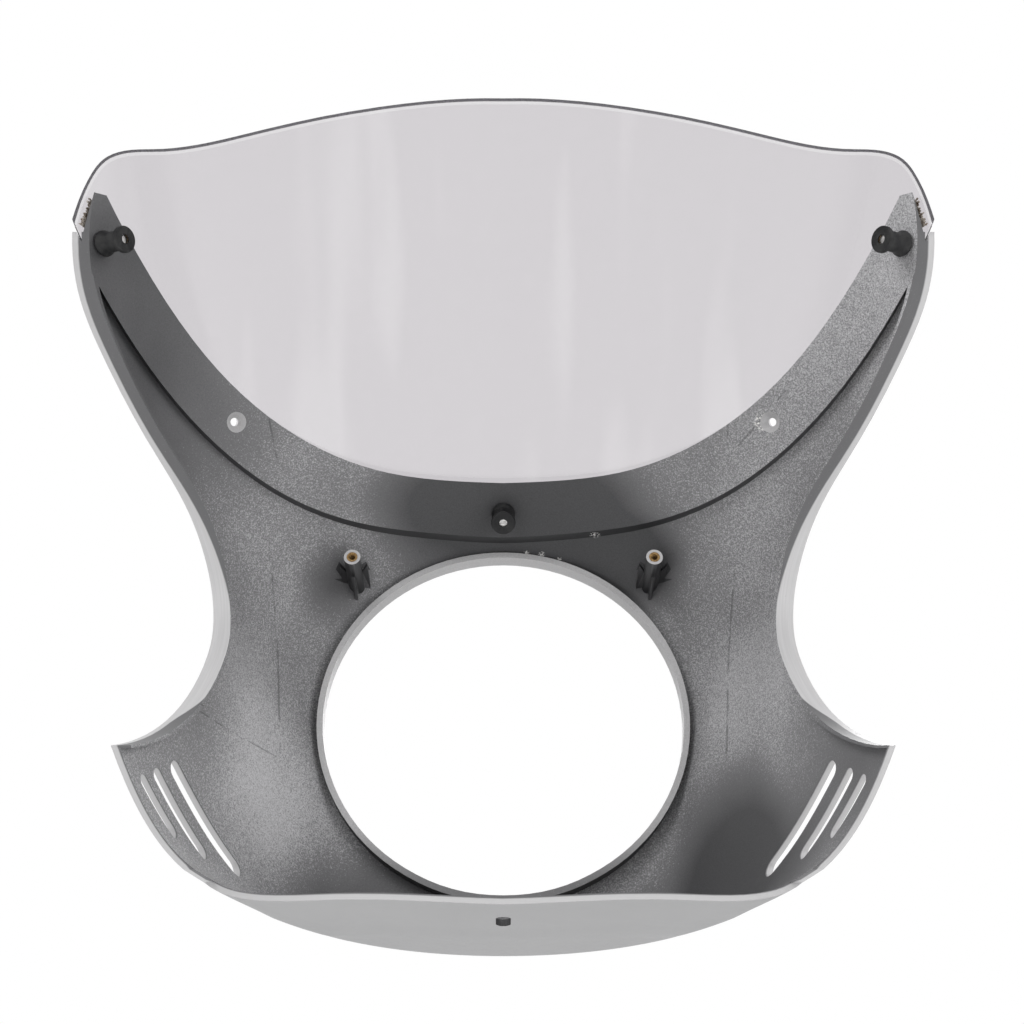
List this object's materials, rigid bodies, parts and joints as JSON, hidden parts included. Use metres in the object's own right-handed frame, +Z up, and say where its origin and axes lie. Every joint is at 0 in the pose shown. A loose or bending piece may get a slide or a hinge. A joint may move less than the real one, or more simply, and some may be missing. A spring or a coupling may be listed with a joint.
{
  "type": "motorcycle headlight cowl",
  "caption": "Silver moulded headlight cowl of a motorcycle with a clear screen, lamp opening, louvred wings and screen fixings.",
  "frame": {"origin": "centre of the lamp opening, in the cowl's front plane", "axes": "+Y along the lamp axis to the front of the motorcycle, +X to its right-hand side, +Z up"},
  "size_m": [0.393, 0.1904, 0.3743],
  "materials": {
    "painted_shell": "satin",
    "clear_screen": "gloss",
    "black_rubber": "matte",
    "brass": "satin",
    "steel": "satin",
    "nylon": "satin",
    "old_sealant": "matte"
  },
  "bodies": {
    "root": {"cowl_shell": "painted_shell", "windscreen": "clear_screen", "well_nut_left": "black_rubber", "well_nut_right": "black_rubber", "well_nut_centre": "black_rubber", "nut_bush_left": "brass", "nut_bush_right": "brass", "nut_bush_centre": "brass", "screen_screw_left": "steel", "screen_screw_right": "steel", "screen_screw_centre": "steel", "screen_washer_left": "nylon", "screen_washer_right": "nylon", "screen_washer_centre": "nylon", "boss_insert_left": "brass", "boss_insert_right": "brass", "corner_sealant_left": "old_sealant", "corner_sealant_right": "old_sealant"}
  },
  "joints": []
}
